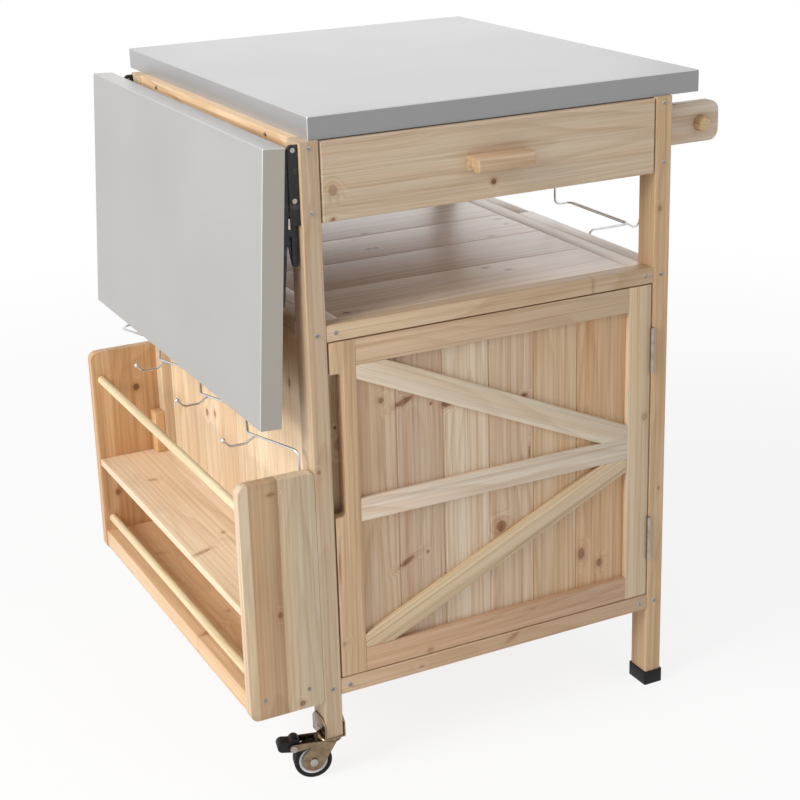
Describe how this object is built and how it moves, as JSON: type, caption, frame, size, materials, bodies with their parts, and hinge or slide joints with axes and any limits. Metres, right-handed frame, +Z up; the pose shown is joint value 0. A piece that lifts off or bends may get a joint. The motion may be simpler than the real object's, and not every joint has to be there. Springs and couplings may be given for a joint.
{
  "type": "grill cart",
  "caption": "Wooden grill cart with a steel worktop, a folding side leaf, a drawer, an open shelf, a cabinet door, a bottle rack, a towel bar and casters.",
  "frame": {"origin": "on the floor under the middle of the cart's outline", "axes": "+X to the right along the front, +Y from the front to the back, +Z up"},
  "size_m": [0.724, 0.673, 0.87],
  "materials": {
    "pine_frame": "planed and clear",
    "pine_board": "planed and clear",
    "dowel_wood": "turned and clear",
    "core_board": "sawn",
    "steel_sheet": "satin",
    "black_steel": "satin black",
    "zinc_steel": "zinc plated",
    "chrome_wire": "polished",
    "black_plastic": "matte",
    "grey_plastic": "matte",
    "black_tyre": "matte"
  },
  "bodies": {
    "frame": {"leg_front_left": "pine_frame", "leg_rear_left": "pine_frame", "leg_front_right": "pine_frame", "leg_rear_right": "pine_frame", "foot_caps": "black_plastic", "side_aprons": "pine_frame", "apron_rear": "pine_frame", "top_core": "core_board", "top_sheet": "steel_sheet", "drawer_runners": "pine_frame", "shelf_boards": "pine_board", "shelf_rails": "pine_frame", "shelf_side_rails": "pine_frame", "ledgers": "pine_frame", "bottom_rails": "pine_frame", "cabinet_floor": "pine_board", "side_walls": "pine_board", "back_panel": "pine_board", "corner_cleats": "pine_frame", "hinge_leg_leaves": "zinc_steel", "hinge_pins": "zinc_steel", "magnetic_catch": "black_plastic", "rack_panels": "pine_board", "rack_shelves": "pine_board", "rack_dowels": "dowel_wood", "rack_cleats": "pine_board", "hook_rail": "chrome_wire", "bag_rail": "chrome_wire", "wire_clips": "zinc_steel", "towel_brackets": "pine_frame", "bracket_wall_arms": "black_steel", "caster_mounts": "zinc_steel", "frame_screws": "zinc_steel"},
    "drawer": {"drawer_front": "pine_frame", "drawer_sides": "pine_frame", "drawer_back": "pine_frame", "drawer_bottom": "pine_board", "drawer_handle": "pine_frame"},
    "door": {"door_stiles": "pine_frame", "door_rails": "pine_frame", "door_braces": "pine_frame", "door_boards": "pine_board", "hinge_door_leaves": "zinc_steel", "strike_plate": "zinc_steel"},
    "leaf": {"leaf_core": "core_board", "leaf_sheet": "steel_sheet", "bracket_leaf_arms": "black_steel"},
    "brace_lower": {"brace_lower_links": "black_steel"},
    "brace_upper": {"brace_upper_links": "black_steel"},
    "towel_roll": {"towel_bar": "dowel_wood"},
    "fork_front": {"caster_fork_front": "zinc_steel", "caster_bolts_front": "zinc_steel"},
    "wheel_front": {"wheel_hub_front": "grey_plastic", "tyre_front": "black_tyre"},
    "brake_front": {"brake_pedal_front": "black_plastic"},
    "fork_rear": {"caster_fork_rear": "zinc_steel", "caster_bolts_rear": "zinc_steel"},
    "wheel_rear": {"wheel_hub_rear": "grey_plastic", "tyre_rear": "black_tyre"},
    "brake_rear": {"brake_pedal_rear": "black_plastic"}
  },
  "joints": [
    {"name": "leaf_hinge", "type": "hinge", "parent": "frame", "child": "leaf", "pos_m": [-0.268, 0, 0.834], "axis": [0, 1, 0], "range_deg": [0, 86.3]},
    {"name": "brace_lower_hinge", "type": "hinge", "parent": "frame", "child": "brace_lower", "pos_m": [-0.268, 0, 0.774], "axis": [0, 1, 0], "range_deg": [0, 121.33]},
    {"name": "brace_upper_hinge", "type": "hinge", "parent": "leaf", "child": "brace_upper", "pos_m": [-0.27439, 0, 0.73521], "axis": [0, 1, 0], "range_deg": [-135.36, 0]},
    {"name": "drawer_slide", "type": "slide", "parent": "frame", "child": "drawer", "axis": [0, -1, 0], "range_m": [0, 0.34]},
    {"name": "door_hinge", "type": "hinge", "parent": "frame", "child": "door", "pos_m": [0.235, -0.311, 0.369], "axis": [0, 0, 1], "range_deg": [0, 170]},
    {"name": "towel_bar_spin", "type": "hinge", "parent": "frame", "child": "towel_roll", "pos_m": [0.332, -0.0085, 0.793], "axis": [0, 1, 0], "continuous": true},
    {"name": "caster_swivel_front", "type": "hinge", "parent": "frame", "child": "fork_front", "pos_m": [-0.2485, -0.2905, 0.05], "axis": [0, 0, 1], "continuous": true},
    {"name": "wheel_spin_front", "type": "hinge", "parent": "fork_front", "child": "wheel_front", "pos_m": [-0.27179, -0.28469, 0.025], "axis": [0.2419, 0.9703, 0], "continuous": true},
    {"name": "brake_press_front", "type": "hinge", "parent": "fork_front", "child": "brake_front", "pos_m": [-0.29604, -0.27865, 0.0485], "axis": [-0.2419, -0.9703, 0], "range_deg": [0, 12]},
    {"name": "caster_swivel_rear", "type": "hinge", "parent": "frame", "child": "fork_rear", "pos_m": [-0.2485, 0.2735, 0.05], "axis": [0, 0, 1], "continuous": true},
    {"name": "wheel_spin_rear", "type": "hinge", "parent": "fork_rear", "child": "wheel_rear", "pos_m": [-0.22521, 0.26769, 0.025], "axis": [-0.2419, -0.9703, 0], "continuous": true},
    {"name": "brake_press_rear", "type": "hinge", "parent": "fork_rear", "child": "brake_rear", "pos_m": [-0.20096, 0.26165, 0.0485], "axis": [0.2419, 0.9703, 0], "range_deg": [0, 12]}
  ],
  "couplings": [
    {"joint": "brace_lower_hinge", "follows": "leaf_hinge", "ratio": 1.406},
    {"joint": "brace_upper_hinge", "follows": "leaf_hinge", "ratio": -1.5685}
  ]
}
